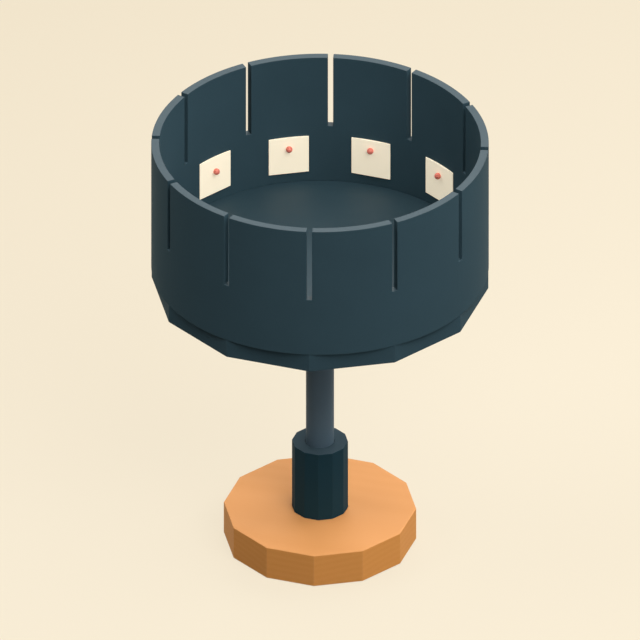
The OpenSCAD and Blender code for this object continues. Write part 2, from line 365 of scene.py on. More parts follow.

# %% [markdown]
# Hands and cloths wear an edge before they wear a flat, so edges grow a little lighter and
# smoother with use. On a zoetrope the rim wears most, because that is where a hand spins it,
# and its lighter colour there is also a painted highlight of the light on its top. Each
# finished mesh carries an attribute that is 1 on the handled, lit rim, and a part of that on
# its rounded edges. This second group turns it into a change of colour and roughness, and
# thins any film there. A noise breaks it up, so that the change isn't an even line.

# %% Edge wear and painted rim highlight
FILM_RUBBED_OFF = 0.6  # share of a film that the strongest wear takes away


def make_worn_and_lit_edges():
    tree, given, result = new_group(
        "worn_and_lit_edges",
        [("Colour", COLOUR, (0.5, 0.5, 0.5, 1)), ("Worn And Lit Colour", COLOUR, (0.6, 0.6, 0.6, 1)),
         ("Roughness", FLOAT, 0.5), ("Smoothing", FLOAT, 0.1), ("Amount", FLOAT, 0.5),
         ("Film", FLOAT, 0.0)],
        [("Colour", COLOUR), ("Roughness", FLOAT), ("Film", FLOAT)])
    place = node(tree, "ShaderNodeTexCoord")
    edges = node(tree, "ShaderNodeAttribute", attribute_name="worn_and_lit")
    patches = node(tree, "ShaderNodeTexNoise", Scale=160.0, Detail=3.0, Roughness=0.6)
    spread = node(tree, "ShaderNodeMapRange", **{"From Min": 0.3, "From Max": 0.7, "To Min": 0.75})
    mixed = node(tree, "ShaderNodeMix", data_type="RGBA")
    link(tree,
         (place.outputs["Object"], patches.inputs["Vector"]),
         (patches.outputs["Fac"], spread.inputs["Value"]))
    strong = maths(tree, "MULTIPLY", edges.outputs["Fac"], given["Amount"])
    mask = maths(tree, "MULTIPLY", strong, spread.outputs["Result"])
    lower = maths(tree, "MULTIPLY", mask, given["Smoothing"])
    rough = maths(tree, "SUBTRACT", given["Roughness"], lower)
    kept = maths(tree, "MULTIPLY_ADD", mask, -FILM_RUBBED_OFF, 1.0)
    link(tree,
         (mask, mixed.inputs["Factor"]),
         (given["Colour"], mixed.inputs["A"]),
         (given["Worn And Lit Colour"], mixed.inputs["B"]),
         (mixed.outputs["Result"], result["Colour"]),
         (rough, result["Roughness"]),
         (maths(tree, "MULTIPLY", given["Film"], kept), result["Film"]))
    return tree


worn_and_lit_edges = make_worn_and_lit_edges()
print("group", worn_and_lit_edges.name, "with", len(worn_and_lit_edges.nodes), "nodes")

# %% [markdown]
# This third group paints light and shade onto what faces up. On the sleeve the up-facing
# colour is lighter and greyer, and on the wood greyer, a painted sheen of the light on their
# tops. On the drum it is darker, a painted shade, under a thin film that mirrors the room.
# The mesh's own normal says what faces up, so this group needs no attribute. It puts out a
# changed colour, and a film for the shader's Coat Weight. Slow patches of noise keep the
# change from looking like a second coat of paint.

# %% Painted light and shade on tops
TOP_ROUGHENING = 0.1


def make_painted_light_tops():
    tree, given, result = new_group(
        "painted_light_tops",
        [("Colour", COLOUR, (0.5, 0.5, 0.5, 1)), ("Top Colour", COLOUR, (0.4, 0.4, 0.4, 1)),
         ("Roughness", FLOAT, 0.5), ("Amount", FLOAT, 0.0), ("Film", FLOAT, 0.0)],
        [("Colour", COLOUR), ("Roughness", FLOAT), ("Film", FLOAT)])
    place = node(tree, "ShaderNodeTexCoord")
    facing = node(tree, "ShaderNodeSeparateXYZ")
    upward = node(tree, "ShaderNodeMapRange", **{"From Min": 0.6, "From Max": 0.95})
    patches = node(tree, "ShaderNodeTexNoise", Scale=45.0, Detail=4.0, Roughness=0.55)
    spread = node(tree, "ShaderNodeMapRange",
                  **{"From Min": 0.35, "From Max": 0.65, "To Min": 0.85})
    mixed = node(tree, "ShaderNodeMix", data_type="RGBA")
    link(tree,
         (place.outputs["Normal"], facing.inputs[0]),
         (facing.outputs["Z"], upward.inputs["Value"]),
         (place.outputs["Object"], patches.inputs["Vector"]),
         (patches.outputs["Fac"], spread.inputs["Value"]))
    patchy = maths(tree, "MULTIPLY", upward.outputs["Result"], spread.outputs["Result"])
    mask = maths(tree, "MULTIPLY", patchy, given["Amount"])
    link(tree,
         (mask, mixed.inputs["Factor"]),
         (given["Colour"], mixed.inputs["A"]),
         (given["Top Colour"], mixed.inputs["B"]),
         (mixed.outputs["Result"], result["Colour"]),
         (maths(tree, "MULTIPLY_ADD", mask, TOP_ROUGHENING, given["Roughness"]),
          result["Roughness"]),
         (maths(tree, "MULTIPLY", patchy, given["Film"]), result["Film"]))
    return tree


painted_light_tops = make_painted_light_tops()
print("group", painted_light_tops.name, "with", len(painted_light_tops.nodes), "nodes")

# %% [markdown]
# Most finishes here are those three groups in front of one shader, so a function builds them.
# Numbers that are the same all over, such as the specular level, go straight onto the shader,
# because an exporter reads them there. The dark finishes have a very low specular level: in
# a pale room a normal one would lay a cream veil over their upright sides.

# %% Materials from the groups
def new_material(name, **constants):
    made = bpy.data.materials.new(name)
    made.use_nodes = True
    shader = made.node_tree.nodes["Principled BSDF"]
    for label, value in constants.items():
        shader.inputs[label.replace("_", " ")].default_value = value
    return made, made.node_tree, shader


def wear_and_paint_light(tree, shader, colour, roughness, top_colour, top, film, worn_and_lit_colour, wear_and_light):
    """Passes a colour and a roughness through painted light and shade on tops, then edge wear and a
    painted rim highlight, into the shader.
    """
    topped = node(tree, "ShaderNodeGroup", node_tree=painted_light_tops, Amount=top, Film=film,
                  **{"Top Colour": (*top_colour, 1)})
    worn = node(tree, "ShaderNodeGroup", node_tree=worn_and_lit_edges, Amount=wear_and_light,
                **{"Worn And Lit Colour": (*worn_and_lit_colour, 1)})
    link(tree,
         (colour, topped.inputs["Colour"]),
         (roughness, topped.inputs["Roughness"]),
         (topped.outputs["Colour"], worn.inputs["Colour"]),
         (topped.outputs["Roughness"], worn.inputs["Roughness"]),
         (worn.outputs["Colour"], shader.inputs["Base Color"]),
         (worn.outputs["Roughness"], shader.inputs["Roughness"]))
    if film:
        link(tree,
             (topped.outputs["Film"], worn.inputs["Film"]),
             (worn.outputs["Film"], shader.inputs["Coat Weight"]))


def add_relief(tree, shader, height, depth):
    relief = node(tree, "ShaderNodeBump", Distance=depth)
    link(tree,
         (height, relief.inputs["Height"]),
         (relief.outputs["Normal"], shader.inputs["Normal"]))


def grained(name, colour, grain, contrast, roughness, relief, top_colour=None, top=0.0, film=0.0,
            worn_and_lit_colour=None, wear_and_light=0.0, **constants):
    made, tree, shader = new_material(name, **constants)
    look = node(tree, "ShaderNodeGroup", node_tree=surface_grain, Colour=(*colour, 1),
                Grain=grain, Contrast=contrast, Roughness=roughness)
    wear_and_paint_light(tree, shader, look.outputs["Colour"], look.outputs["Roughness"],
        top_colour or colour, top, film, worn_and_lit_colour or colour, wear_and_light)
    add_relief(tree, shader, look.outputs["Height"], relief)
    # A finish given an emission strength glows in its own colour, a painted glow.
    if constants.get("Emission_Strength"):
        link(tree, (look.outputs["Colour"], shader.inputs["Emission Color"]))
    return made


# The drum's tops are painted darker under their film, a painted shade, and its rim lighter, a
# painted highlight along with wear.
drum_moulding = grained(
    "slate_moulding", (0.0335, 0.066, 0.084), grain=1100, contrast=0.16, roughness=0.70,
    relief=0.00006, top_colour=(0.012, 0.037, 0.052), top=0.8, film=0.9,
    worn_and_lit_colour=(0.044, 0.069, 0.083), wear_and_light=1.0, Specular_IOR_Level=0.05, Coat_Roughness=0.6)
# The sleeve's top is painted lighter and greyer, a painted sheen of the light on it.
sleeve_enamel = grained(
    "black_enamel", (0.012, 0.042, 0.060), grain=1600, contrast=0.18, roughness=0.65,
    relief=0.00006, top_colour=(0.078, 0.112, 0.133), top=0.6,
    worn_and_lit_colour=(0.03, 0.06, 0.07), wear_and_light=0.5, Specular_IOR_Level=0.05)
column_enamel = grained(
    "grey_enamel", (0.097, 0.148, 0.190), grain=2200, contrast=0.12, roughness=0.50,
    relief=0.00002, worn_and_lit_colour=(0.16, 0.20, 0.23), wear_and_light=0.5, Specular_IOR_Level=0.08)
# The card glows a little in its own colour, a painted glow that lights it inside the drum beyond
# what the lamps give.
tile_card = grained(
    "glowing_cream_card", (0.87, 0.77, 0.59), grain=1400, contrast=0.08, roughness=0.90,
    relief=0.00005, Specular_IOR_Level=0.1, Emission_Strength=0.42)
ball_lacquer = grained(
    "coral_lacquer", (0.84, 0.215, 0.155), grain=3000, contrast=0.05, roughness=0.40,
    relief=0.000005, Specular_IOR_Level=0.4)
felt = grained(
    "green_felt", (0.045, 0.085, 0.065), grain=2600, contrast=0.5, roughness=0.95,
    relief=0.0003, Specular_IOR_Level=0.1, Sheen_Weight=0.6, Sheen_Roughness=0.5)
print("finishes with surface grain:", surface_grain.users)

# %% [markdown]
# The base is a block of close-grained wood under a satin amber stain. A Wave texture in its
# Rings form, with its rings round a line below the block, gives growth rings: long slow
# figures on top, arcs on the ends. A noise stretched along the same line gives the fibres.
# Both are kept faint, as on a fine-grained wood. The sides are given a deeper, redder tone
# than the top, and the top a greyer one: painted light, standing in for the different light
# on them. The mesh's own normal tells the two apart.

# %% Stained wood
PLANK_TURN = radians(12)
PLANK_PLACE = (0, 0.02, 0.11)
RING_SHARE = 0.35  # of the figure; the fibres have the rest
FIBRE_STRETCH = (0.06, 1, 1)
WOOD_ROUGHNESS = 0.62  # where the figure is darkest
FIBRE_SMOOTHING = 0.1  # how much less rough it is where the figure is lightest
WOOD_RELIEF = 0.00003


def make_wood():
    made, tree, shader = new_material("amber_wood", Specular_IOR_Level=0.15)
    place = node(tree, "ShaderNodeTexCoord")
    plank = node(tree, "ShaderNodeMapping")
    plank.inputs["Location"].default_value = PLANK_PLACE
    plank.inputs["Rotation"].default_value = (0, 0, PLANK_TURN)
    rings = node(tree, "ShaderNodeTexWave", wave_type="RINGS", rings_direction="X", Scale=70.0,
                 Distortion=3.0, Detail=2.0)
    rings.inputs["Detail Scale"].default_value = 0.15
    stretch = node(tree, "ShaderNodeVectorMath", operation="MULTIPLY")
    stretch.inputs[1].default_value = FIBRE_STRETCH
    fibres = node(tree, "ShaderNodeTexNoise", Scale=900.0, Detail=4.0, Roughness=0.6)
    link(tree,
         (place.outputs["Object"], plank.inputs["Vector"]),
         (plank.outputs["Vector"], rings.inputs["Vector"]),
         (plank.outputs["Vector"], stretch.inputs[0]),
         (stretch.outputs["Vector"], fibres.inputs["Vector"]))
    ring_share = maths(tree, "MULTIPLY", rings.outputs["Fac"], RING_SHARE)
    figure = maths(tree, "MULTIPLY_ADD", fibres.outputs["Fac"], 1 - RING_SHARE, ring_share)

    def stained(darker, lighter):
        tones = node(tree, "ShaderNodeMix", data_type="RGBA")
        tones.inputs["A"].default_value = (*darker, 1)
        tones.inputs["B"].default_value = (*lighter, 1)
        tree.links.new(figure, tones.inputs["Factor"])
        return tones.outputs["Result"]

    # Painted light: a deeper tone for the sides, a greyer one for the top.
    facing = node(tree, "ShaderNodeSeparateXYZ")
    upright = node(tree, "ShaderNodeMapRange", **{"From Min": 0.2, "From Max": 0.8})
    by_side = node(tree, "ShaderNodeMix", data_type="RGBA")
    roughness = maths(tree, "MULTIPLY_ADD", figure, -FIBRE_SMOOTHING, WOOD_ROUGHNESS)
    link(tree,
         (place.outputs["Normal"], facing.inputs[0]),
         (facing.outputs["Z"], upright.inputs["Value"]),
         (upright.outputs["Result"], by_side.inputs["Factor"]),
         (stained((0.745, 0.305, 0.072), (0.795, 0.345, 0.092)), by_side.inputs["A"]),
         (stained((0.715, 0.312, 0.100), (0.755, 0.338, 0.114)), by_side.inputs["B"]))
    # The greyer patches on the top are a painted sheen; the lighter edges are wear.
    wear_and_paint_light(tree, shader, by_side.outputs["Result"], roughness, top_colour=(0.74, 0.34, 0.12), top=0.3,
        film=0.0, worn_and_lit_colour=(0.80, 0.40, 0.16), wear_and_light=0.5)
    add_relief(tree, shader, figure, WOOD_RELIEF)
    return made


base_wood = make_wood()
print("wood nodes:", len(base_wood.node_tree.nodes))

# %% [markdown]
# Screws, bearings and spacers are bare metal turned on a lathe. Fine marks run round them, so
# a noise that is squeezed along the axis gives rings of slightly different shine.

# %% Turned metals
LATHE_MARKS = (60, 60, 4000)
MARK_SPREAD = 0.16  # how far the marks swing the roughness, in all
MARK_RELIEF = 0.000006


def make_turned_metal(name, colour, roughness):
    made, tree, shader = new_material(name, Base_Color=(*colour, 1), Metallic=1.0)
    place = node(tree, "ShaderNodeTexCoord")
    squeeze = node(tree, "ShaderNodeMapping")
    squeeze.inputs["Scale"].default_value = LATHE_MARKS
    marks = node(tree, "ShaderNodeTexNoise", Scale=1.0, Detail=2.0)
    link(tree,
         (place.outputs["Object"], squeeze.inputs["Vector"]),
         (squeeze.outputs["Vector"], marks.inputs["Vector"]),
         (maths(tree, "MULTIPLY_ADD", marks.outputs["Fac"], MARK_SPREAD,
                roughness - MARK_SPREAD / 2), shader.inputs["Roughness"]))
    add_relief(tree, shader, marks.outputs["Fac"], MARK_RELIEF)
    return made


finishes = {
    "base_wood": base_wood, "felt": felt, "sleeve_enamel": sleeve_enamel,
    "column_enamel": column_enamel, "hub_enamel": sleeve_enamel, "drum_plastic": drum_moulding,
    "tile_card": tile_card, "ball_enamel": ball_lacquer,
    "bearing_steel": make_turned_metal("ground_steel", (0.62, 0.63, 0.65), 0.18),
    "fastener_steel": make_turned_metal("turned_steel", (0.50, 0.51, 0.52), 0.35),
    "cage_brass": make_turned_metal("turned_brass", (0.70, 0.50, 0.22), 0.32)}
print("finishes:", len(finishes))

# %% [markdown]
# Each finished piece rides on the body that its CAD node belongs to, hides that node, and
# takes the node's slot in the record. Its marks become the attribute that the group for edge
# wear and the painted rim highlight reads. Nodes that keep their own mesh, such as the
# bearings, only get a material.

# %% Join pieces to the frame
slot_of = {part["node"]: part["material_slot"] for part in frame["record"]["subparts"]}
body_of = {name: body for body, names in frame["record"]["behaviour"]["bodies"].items()
           for name in names}
WEAR_AND_LIGHT = {PLAIN: 0.0, EASED: 0.25, HANDLED_AND_LIT: 1.0}


def finish_piece(piece, name):
    """piece takes the place of the CAD node: its body, its slot and that slot's material."""
    marks = [WEAR_AND_LIGHT[face.material_index] for face in piece.data.polygons]
    piece.data.materials.clear()
    piece.data.materials.append(finishes[slot_of[name]])
    for face in piece.data.polygons:
        face.material_index = PLAIN
    piece.data.attributes.new("worn_and_lit", "FLOAT", "FACE").data.foreach_set("value", marks)
    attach(piece, body_of[name])
    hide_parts(name)
    report(piece)


for name, obj in frame["nodes"].items():
    obj.data.materials.clear()
    obj.data.materials.append(finishes[slot_of[name]])
print("dressed", len(frame["nodes"]), "nodes")

# %% [markdown]
# ## The base
# The base is a flat block with twelve sides. A post with twelve corners gives the block, and
# its top face is inset and pushed down to make the socket that holds the sleeve. An inset
# keeps the twelve sides parallel, so the socket has the sleeve's own shape.

# %% Base block
BASE_EASE = 0.0005
base = add_post("base", base_r, base_foot, base_top, corners=SIDES)
pick(base, "faces", lambda place: place.z > base_top - TIGHT)
bpy.ops.mesh.inset(thickness=(base_r - sleeve_r - LOOSE) * FLATS)
bpy.ops.mesh.extrude_region_move(
    TRANSFORM_OT_translate={"value": (0, 0, sleeve_foot - base_top)})
leave_edit()
ease(base, width=BASE_EASE, above=20)
report(base)

# %% [markdown]
# Under the block are a round recess for the felt, a deep pocket for the lock nut, and four
# screw holes with wide mouths for the heads. The felt covers all of it, but it is made all
# the same, so that no piece sits inside another. Holes are drilled after the edges are eased,
# which keeps the Bevel modifier away from the small faces that a hole leaves.

# %% Holes under the base
SLEEVE_SCREWS = 4
SLEEVE_SCREW_R = 0.0015
SLEEVE_HEAD_R = 0.00275
SLEEVE_HEAD_H = 0.0024
NUT_ROOM = 0.0025  # room for a socket wrench round the nut


def drill(obj, radius, low, high, top_radius=None, holes=1, circle=0.0, start=0.0, corners=96):
    """Drills upright round holes, evenly spaced on a circle about the drum's axis."""
    bit = add_post("bit", radius, low, high, corners, top_radius, at=(circle, 0))
    carve(obj, ring_of(bit, evenly(holes, start)))


def circle_of(name, head_r, holes):
    """Radius of the circle that a node's screws stand on, from its box."""
    return (radius_of(name) - head_r) / cos(pi / holes)


felt_r, felt_top = radius_of("felt_pad"), heights_of("felt_pad")[1]
nut_r = radius_of("lock_nut")
sleeve_circle = circle_of("sleeve_screws", SLEEVE_HEAD_R, SLEEVE_SCREWS)
screw_seat = heights_of("sleeve_screws")[0] + SLEEVE_HEAD_H
drill(base, felt_r + LOOSE, -PAST, felt_top, corners=128)
drill(base, nut_r + NUT_ROOM, 0, sleeve_foot + PAST)
for radius, top in ((SLEEVE_SCREW_R + LOOSE, sleeve_foot + PAST),
                    (SLEEVE_HEAD_R + RUNNING, screw_seat)):
    drill(base, radius, 0, top, holes=SLEEVE_SCREWS, circle=sleeve_circle,
          start=pi / SLEEVE_SCREWS, corners=32)
smooth(base)
finish_piece(base, "base_block")

# %% [markdown]
# The felt pad is a disc whose edge is pressed round by use, so it gets a wide, soft bevel. It
# stands a little proud of the wood, and that is what touches the table.

# %% Felt pad
FELT_EASE = 0.0004
pad = add_post("pad", felt_r, 0, felt_top, corners=128)
ease(pad, width=FELT_EASE, segments=4)
smooth(pad)
finish_piece(pad, "felt_pad")

# %% [markdown]
# ## The sleeve
# The sleeve is a twelve-sided post that holds the bearings. The column turns inside it with
# a hair's breadth of air, so its top has a round mouth. The bore below it is wider, with a
# groove for the ring that keeps the bearings in, and four screws come up into its foot.

# %% Bearing sleeve
TIP_ROOM = 0.0005  # air past the tips of the sleeve's screws
sleeve = add_post("sleeve", sleeve_r, sleeve_foot, sleeve_top, corners=SIDES)
ease(sleeve, above=20)
bearing_r, shoulder = radius_of("upper_outer_race"), heights_of("upper_outer_race")[1]
groove_r, (groove_foot, groove_top) = radius_of("retaining_ring"), heights_of("retaining_ring")
drill(sleeve, column_r + RUNNING, sleeve_foot - PAST, sleeve_top + PAST)
drill(sleeve, groove_r + LOOSE, groove_foot - LOOSE, groove_top + LOOSE)
drill(sleeve, bearing_r + TIGHT, sleeve_foot - PAST, shoulder)
drill(sleeve, SLEEVE_SCREW_R + TIGHT, sleeve_foot - PAST,
      heights_of("sleeve_screws")[1] + TIP_ROOM,
      holes=SLEEVE_SCREWS, circle=sleeve_circle, start=pi / SLEEVE_SCREWS, corners=32)
smooth(sleeve)
finish_piece(sleeve, "bearing_sleeve")

# %% [markdown]
# ## The column
# The column is a steel tube. A cylinder without its two ends, thickened inwards by a Solidify
# modifier, makes a tube of even thickness, which is simpler than carving a cylinder out of
# another. Its sharp end edges are eased afterwards.

# %% Column
TUBE_T = 0.0025
column = add_post("column", column_r, column_foot, column_top, corners=128)
pick(column, "faces", lambda place: not column_foot + TIGHT < place.z < column_top - TIGHT)
bpy.ops.mesh.delete(type="FACE")
leave_edit()
use(column, "SOLIDIFY", thickness=TUBE_T, offset=-1)
ease(column)
smooth(column)
finish_piece(column, "column_tube")

# %% [markdown]
# ## The hub
# A flange under the drum carries it, on a boss that clamps the column. It starts as the
# flange alone. Its under face is inset, drawn down and in to make the sloping fillet, and
# drawn down again for the boss. The bore and the screw holes are drilled last.

# %% Hub
HUB_T = 0.006
HUB_FILLET = 0.003
BOSS_R = 0.016
HUB_EASE = 0.0006
hub_r, (boss_foot, hub_top) = radius_of("drum_hub"), heights_of("drum_hub")
flange_foot = hub_top - HUB_T
hub = add_post("hub", hub_r, flange_foot, hub_top, corners=128)
pick(hub, "faces", lambda place: place.z < flange_foot + TIGHT)
bpy.ops.mesh.inset(thickness=hub_r - BOSS_R - HUB_FILLET)
bpy.ops.mesh.extrude_region_move(TRANSFORM_OT_translate={"value": (0, 0, -HUB_FILLET)})
boss_share = BOSS_R / (BOSS_R + HUB_FILLET)
bpy.ops.transform.resize(value=(boss_share, boss_share, 1))
bpy.ops.mesh.extrude_region_move(
    TRANSFORM_OT_translate={"value": (0, 0, boss_foot + HUB_FILLET - flange_foot)})
leave_edit()
ease(hub, width=HUB_EASE)
report(hub)

# %% [markdown]
# Four screws with sunk heads hold the hub to the plate, and twelve more hold the wall. Such a
# hole is drilled twice: a straight hole for the shank, and a cone for the head. Three set
# screws come in from the boss's sides, so their holes are laid along X before they are copied.

# %% Holes in the hub
HUB_SCREWS = 4
HUB_SCREW_R = 0.002
HUB_HEAD_R = 0.0038
SET_SCREWS = 3
SET_SCREW_R = 0.002


def drill_sunk(obj, foot, top, radius, head_r, holes, circle, start):
    """Drills holes that sink a screw's cone-shaped head flush with the face at foot."""
    drill(obj, radius + TIGHT, foot - PAST, top, holes=holes, circle=circle, start=start,
          corners=48)
    drill(obj, head_r + 2 * TIGHT, foot - TIGHT, foot + head_r - radius + TIGHT,
          top_radius=radius, holes=holes, circle=circle, start=start, corners=48)


hub_circle = circle_of("hub_screws", HUB_HEAD_R, HUB_SCREWS)
set_screw_z = (boss_foot + flange_foot) / 2
drill(hub, column_r + TIGHT, boss_foot - PAST, hub_top + PAST)
drill_sunk(hub, flange_foot, hub_top + PAST, HUB_SCREW_R, HUB_HEAD_R, HUB_SCREWS, hub_circle,
           pi / HUB_SCREWS)
bit = add_post("bit", SET_SCREW_R + TIGHT, column_r - PAST, BOSS_R + PAST, corners=48)
bit = lay_along_x(bit, set_screw_z)
carve(hub, ring_of(bit, evenly(SET_SCREWS)))
smooth(hub)
finish_piece(hub, "drum_hub")

# %% [markdown]
# ## The drum's plate
# The floor of the drum is a thick plate with twelve sides, so its corners reach the round
# wall and its flats stay inside it. Under each corner a sunk screw goes up into the wall.

# %% Drum plate
PLATE_SOCKET = 0.004
HUB_SCREW_REACH = 0.0095
WALL_SCREW_IN = 0.0032
WALL_SCREW_R = 0.00125
WALL_HEAD_R = 0.0024
wall_circle = drum_r - WALL_SCREW_IN
plate = add_post("plate", drum_r, plate_foot, floor_z, corners=SIDES)
ease(plate, above=20)
drill(plate, column_r + TIGHT, plate_foot - PAST, plate_foot + PLATE_SOCKET)
drill(plate, HUB_SCREW_R + TIGHT, plate_foot - PAST, plate_foot + HUB_SCREW_REACH,
      holes=HUB_SCREWS, circle=hub_circle, start=pi / HUB_SCREWS, corners=48)
drill_sunk(plate, plate_foot, floor_z + PAST, WALL_SCREW_R, WALL_HEAD_R, SIDES, wall_circle, 0)
smooth(plate)
finish_piece(plate, "drum_plate")

# %% [markdown]
# ## The screws
# One screw of each kind is made and then copied round. The head is a cone that narrows to the
# shank, the shank is extruded from its small end, and its tip is drawn in a little, as on any
# cut thread. The socket for a hexagon key is carved into the head.

# %% Sunk screws
TIP_TAPER = 0.7
KEY_WIDTH = 0.45  # the key socket's radius and depth, as shares of the head's radius
KEY_DEPTH = 0.5
SCREW_EASE = 0.0001


def add_sunk_screw(name, foot, top, radius, head_r, circle):
    """A screw that points up, with its head flush with the height foot."""
    screw = add_post(name, head_r, foot, foot + head_r - radius, 48, top_radius=radius)
    pick(screw, "faces", lambda place: place.z > foot + head_r - radius - TIGHT)
    bpy.ops.mesh.extrude_region_move(
        TRANSFORM_OT_translate={"value": (0, 0, top - radius / 2 - (foot + head_r - radius))})
    bpy.ops.mesh.extrude_region_move(TRANSFORM_OT_translate={"value": (0, 0, radius / 2)})
    bpy.ops.transform.resize(value=(TIP_TAPER, TIP_TAPER, 1))
    leave_edit()
    carve(screw, add_post("key", KEY_WIDTH * head_r, foot - PAST, foot + KEY_DEPTH * head_r, 6,
                          turn=pi / 6))
    ease(screw, width=SCREW_EASE)
    screw.data.transform(Matrix.Translation((circle, 0, 0)))
    return screw


def finish_ring(piece, name, angles):
    ring = ring_of(piece, angles)
    smooth(ring)
    finish_piece(ring, name)


for name, radius, head_r, holes, circle, start in (
        ("hub_screws", HUB_SCREW_R, HUB_HEAD_R, HUB_SCREWS, hub_circle, pi / HUB_SCREWS),
        ("wall_screws", WALL_SCREW_R, WALL_HEAD_R, SIDES, wall_circle, 0)):
    foot, top = heights_of(name)
    finish_ring(add_sunk_screw(f"turned_{name}", foot, top, radius, head_r, circle), name,
                evenly(holes, start))

# %% [markdown]
# A set screw has no head: it is a short threaded slug with a key socket in its outer end. It
# is made upright, with its outer end on top, and then laid along X like the hole it fills.

# %% Set screws
SET_SCREW_IN = 0.0005
set_low, set_high = column_r + 2 * TIGHT, BOSS_R - SET_SCREW_IN
slug = add_post("set_screws", SET_SCREW_R, set_low, set_high, 48)
carve(slug, add_post("key", SET_SCREW_R / 2, (set_low + set_high) / 2, set_high + PAST, 6,
                     turn=pi / 6))
ease(slug, width=SCREW_EASE)
finish_ring(lay_along_x(slug, set_screw_z), "hub_set_screws", evenly(SET_SCREWS))

# %% [markdown]
# ## The slotted wall
# Cutting twelve slots out of a ring would work, but it leaves ragged little faces beside each
# cut, and a bevel fails on those. So one twelfth of the wall is made, from the middle of one
# slot to the middle of the next, and spun round. The twelfth starts as the outline of the
# wall's section: a plane stood on edge, its face removed, with a corner added on each upright
# side at the height of the slots' feet.

# %% Outline of the wall's section
wall_mid_z = (floor_z + rim_z) / 2
bpy.ops.object.select_all(action="DESELECT")
bpy.ops.mesh.primitive_plane_add(
    size=1, location=(drum_r - WALL_T / 2, 0, wall_mid_z), rotation=(pi / 2, 0, 0))
wall = bpy.context.active_object
wall.name = "slotted_wall"
wall.scale = (WALL_T, rim_z - floor_z, 1)
bpy.ops.object.transform_apply(location=True, rotation=True, scale=True)
pick(wall, "faces", lambda place: True)
bpy.ops.mesh.delete(type="ONLY_FACE")
leave_edit()
pick(wall, "edges", lambda place: abs(place.z - wall_mid_z) < EASE)
bpy.ops.mesh.subdivide()
leave_edit()
pick(wall, "verts", lambda place: abs(place.z - wall_mid_z) < EASE)
bpy.ops.transform.translate(value=(0, 0, slot_foot - wall_mid_z))
leave_edit()
print("outline:", len(wall.data.vertices), "corners,", len(wall.data.edges), "edges")

# %% [markdown]
# Spinning the outline through one step sweeps a curved block with open ends. Two cuts, each
# parallel to a slot's middle and half a slot away from it, mark where the slots' sides go.

# %% Spin one step and cut the slots' sides
SPIN_STEPS = 24


def from_slot(place, turn):
    """Distance of a point from the middle plane of the slot at that angle."""
    return place.y * cos(turn) - place.x * sin(turn)


pick_all(wall)
bpy.ops.mesh.spin(steps=SPIN_STEPS, angle=STEP, center=(0, 0, 0), axis=(0, 0, 1))
leave_edit()
far_turn = max((atan2(v.co.y, v.co.x) for v in wall.data.vertices), key=abs)
side = 1 if far_turn > 0 else -1
slots = ((0.0, side), (far_turn, -side))  # angle of each slot, and the side of it that stays
for turn, inwards in slots:
    pick_all(wall)
    across = Vector((-sin(turn), cos(turn), 0)) * inwards
    bpy.ops.mesh.bisect(plane_co=across * SLOT_W / 2, plane_no=across)
    leave_edit()
print("one step:", len(wall.data.polygons), "faces, far end at", round(far_turn * 360 / tau, 2))

# %% [markdown]
# The faces that lie in a slot are deleted. Four corners then stand round each missing side,
# and four round each half of a slot's foot. A face is filled in between each four.

# %% Open the slots
TINY = 1e-5


def in_slot(place, turn):
    return abs(from_slot(place, turn)) < SLOT_W / 2 - TINY and place.z > slot_foot + TINY


def fill(test):
    pick(wall, "verts", test)
    bpy.ops.mesh.edge_face_add()
    leave_edit()


for turn, inwards in slots:
    pick(wall, "faces", lambda place: in_slot(place, turn))
    bpy.ops.mesh.delete(type="FACE")
    leave_edit()
    fill(lambda place: abs(from_slot(place, turn) * inwards - SLOT_W / 2) < TINY
         and place.z > slot_foot - TINY)
    fill(lambda place: abs(from_slot(place, turn)) < SLOT_W / 2 + TINY
         and abs(place.z - slot_foot) < TINY)
print("one step with its slots:", len(wall.data.polygons), "faces")

# %% [markdown]
# Now the step is repeated round the axis, and the corners where two steps meet are merged.
# What was swept and filled may face either way, so the normals are made to agree. The whole
# rim is marked as handled and lit: hands spin the drum there, and its lighter colour is also
# a painted highlight of the light on its top.

# %% Close the ring
pick_all(wall)
bpy.ops.mesh.spin(steps=FRAMES - 1, angle=far_turn * (FRAMES - 1), dupli=True,
                  center=(0, 0, 0), axis=(0, 0, 1))
leave_edit()
pick_all(wall)
bpy.ops.mesh.remove_doubles(threshold=TINY)
bpy.ops.mesh.normals_make_consistent(inside=False)
leave_edit()
wall.data.transform(Matrix.Rotation(FRONT, 4, "Z"))
ease(wall)
for face in wall.data.polygons:
    if face.center.z > rim_z - EASE:
        face.material_index = HANDLED_AND_LIT
report(wall)

# %% [markdown]
# Behind each picture is a fine hole for its pin, and under each corner of the plate one for
# its screw. A picture stands midway between two slots, and each pin's height comes from the
# frame, because the balls on the pins climb and fall round the drum.

# %% Holes in the wall
PIN_R = 0.0007
PIN_HOLE_OUT = 0.0035  # how far the hole reaches into the wall
WALL_SCREW_REACH = 0.0105
GLUE_T = 0.0001
TILE_T = 0.0015
TILE_W = 0.029
tile_back_r = wall_in_r - GLUE_T
tile_face_r = tile_back_r - TILE_T
pictures = [f"{i:02d}" for i in range(1, FRAMES + 1)]
angles = [angle_of(f"picture_tile_{i}") for i in pictures]
pin_heights = [sum(heights_of(f"ball_pin_{i}")) / 2 for i in pictures]
bit = lay_along_x(add_post("bit", PIN_R + TIGHT, tile_face_r, wall_in_r + PIN_HOLE_OUT, 24), 0)
carve(wall, ring_of(bit, angles, pin_heights))
drill(wall, WALL_SCREW_R + TIGHT, floor_z - PAST, floor_z + WALL_SCREW_REACH,
      holes=SIDES, circle=wall_circle, corners=32)
smooth(wall)
finish_piece(wall, "drum_wall")

